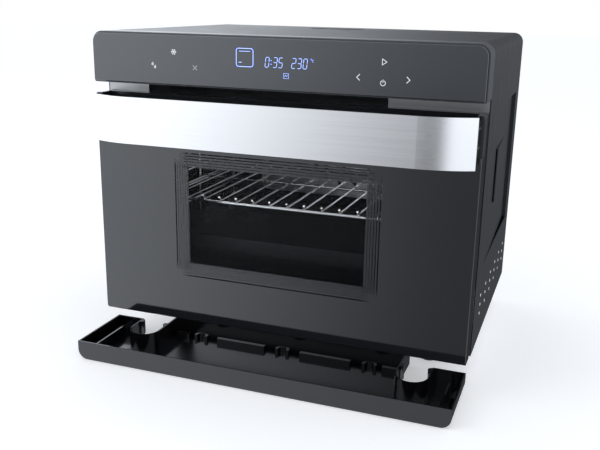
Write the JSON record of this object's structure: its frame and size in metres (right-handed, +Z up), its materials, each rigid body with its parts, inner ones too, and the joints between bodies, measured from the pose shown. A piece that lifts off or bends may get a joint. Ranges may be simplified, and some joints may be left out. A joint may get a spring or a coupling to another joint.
{
  "type": "combi steam oven",
  "caption": "Countertop combi steam oven: charcoal casing, touch panel, drop-down mirror-glass door with bowed steel handle, and a pull-out condensate tray.",
  "frame": {"origin": "centre of the footprint at rest, tray included, on the surface the feet stand on", "axes": "+X to the right seen from the front, +Y to the rear, +Z up"},
  "size_m": [0.5124, 0.458, 0.4305],
  "materials": {
    "charcoal_enamel": "semi-gloss powder coat",
    "charcoal_plastic": "satin moulding",
    "door_frame_metal": "satin coat",
    "light_lining": "matt",
    "dark_screws": "satin",
    "zinc_screws": "bright zinc",
    "black_plastic": "fine texture",
    "white_plastic": "satin",
    "zinc_sheet": "bright zinc",
    "pad_rubber": "matt",
    "seal_rubber": "matt silicone",
    "brushed_stainless": "brushed along X",
    "cavity_stainless": "soft brushed",
    "control_glass": "back-printed",
    "display_body": "gloss",
    "circuit_board": "solder mask",
    "ceramic_wool": "fibrous",
    "chrome_wire": "polished",
    "tray_steel": "dark satin",
    "fan_aluminium": "satin",
    "motor_metal": "satin",
    "heater_tube": "heat-tinted",
    "lamp_glass": "frosted",
    "white_ceramic": "glazed",
    "cast_aluminium": "as cast",
    "tank_plastic": "clear tinted",
    "lid_plastic": "satin",
    "pump_plastic": "satin",
    "silicone_hose": "translucent",
    "ribbon": "satin",
    "clear_glass": "clear",
    "door_glass": "mirror-tinted",
    "door_cap_plastic": "gloss",
    "handle_steel": "brushed along X",
    "tray_plastic": "gloss inside, matt front"
  },
  "bodies": {
    "oven": {"base_plate": "zinc_sheet", "blower_housing": "zinc_sheet", "blower_motor": "motor_metal", "casing_wrap": "charcoal_enamel", "cavity_lamp": "white_ceramic", "cavity_liner": "cavity_stainless", "control_glass": "control_glass", "control_housing": "charcoal_plastic", "cord_gland": "black_plastic", "display_module": "display_body", "door_seal": "seal_rubber", "door_switch": "white_plastic", "fan_guard": "cavity_stainless", "fan_motor": "motor_metal", "feed_hose": "silicone_hose", "feet": "black_plastic", "foot_pads": "pad_rubber", "foot_screws": "zinc_screws", "front_frame": "brushed_stainless", "grill_heater": "heater_tube", "hinge_brackets": "zinc_sheet", "hinge_pins": "zinc_sheet", "insulation_blanket": "ceramic_wool", "lamp_lens": "lamp_glass", "power_board": "circuit_board", "pressure_hose": "silicone_hose", "rear_panel": "charcoal_enamel", "rear_screws": "dark_screws", "ribbon_cable": "ribbon", "ring_heater": "heater_tube", "shelf_rails": "chrome_wire", "shield_plate": "zinc_sheet", "steam_generator": "cast_aluminium", "tank_well": "black_plastic", "temperature_probe": "chrome_wire", "terminal_block": "white_plastic", "thermal_cutout": "white_ceramic", "touch_board": "circuit_board", "vent_lining": "light_lining", "wall_stops": "black_plastic", "water_pump": "pump_plastic"},
    "door": {"door_frame": "door_frame_metal", "door_inner_glass": "clear_glass", "door_outer_glass": "door_glass", "door_cap": "door_cap_plastic", "handle_strip": "handle_steel", "handle_posts": "black_plastic", "handle_screws": "zinc_screws", "check_arms": "zinc_sheet"},
    "plunger": {"switch_plunger": "white_plastic"},
    "rack": {"wire_rack": "chrome_wire"},
    "pan": {"baking_tray": "tray_steel"},
    "fan": {"convection_fan": "fan_aluminium"},
    "blower": {"blower_rotor": "fan_aluminium"},
    "tank": {"water_tank": "tank_plastic"},
    "lid": {"tank_lid": "lid_plastic"},
    "drip_tray": {"condensate_tray": "tray_plastic"}
  },
  "joints": [
    {"name": "door_hinge", "type": "hinge", "parent": "oven", "child": "door", "pos_m": [0, -0.139, 0.058], "axis": [1, 0, 0], "range_deg": [0, 90], "stiffness_Nm_per_rad": 1.2, "springref_deg": -20.05},
    {"name": "plunger_slide", "type": "slide", "parent": "oven", "child": "plunger", "axis": [0, -1, 0], "range_m": [0, 0.003]},
    {"name": "rack_slide", "type": "slide", "parent": "oven", "child": "rack", "axis": [0, -1, 0], "range_m": [-0.004, 0.01]},
    {"name": "pan_slide", "type": "slide", "parent": "oven", "child": "pan", "axis": [0, -1, 0], "range_m": [-0.008, 0.01]},
    {"name": "fan_spin", "type": "hinge", "parent": "oven", "child": "fan", "pos_m": [0, 0.17, 0.242], "axis": [0, 1, 0], "continuous": true},
    {"name": "blower_spin", "type": "hinge", "parent": "oven", "child": "blower", "pos_m": [0, -0.028, 0.3842], "axis": [1, 0, 0], "continuous": true},
    {"name": "tank_lift", "type": "slide", "parent": "oven", "child": "tank", "axis": [0, 0, 1], "range_m": [0, 0.13]},
    {"name": "lid_lift", "type": "slide", "parent": "tank", "child": "lid", "axis": [0, 0, 1], "range_m": [0, 0.05]},
    {"name": "tray_slide", "type": "slide", "parent": "oven", "child": "drip_tray", "axis": [0, 1, 0], "range_m": [-0.09, 0.075]}
  ],
  "couplings": [
    {"joint": "plunger_slide", "follows": "door_hinge", "m_per_rad": 0.0019}
  ]
}
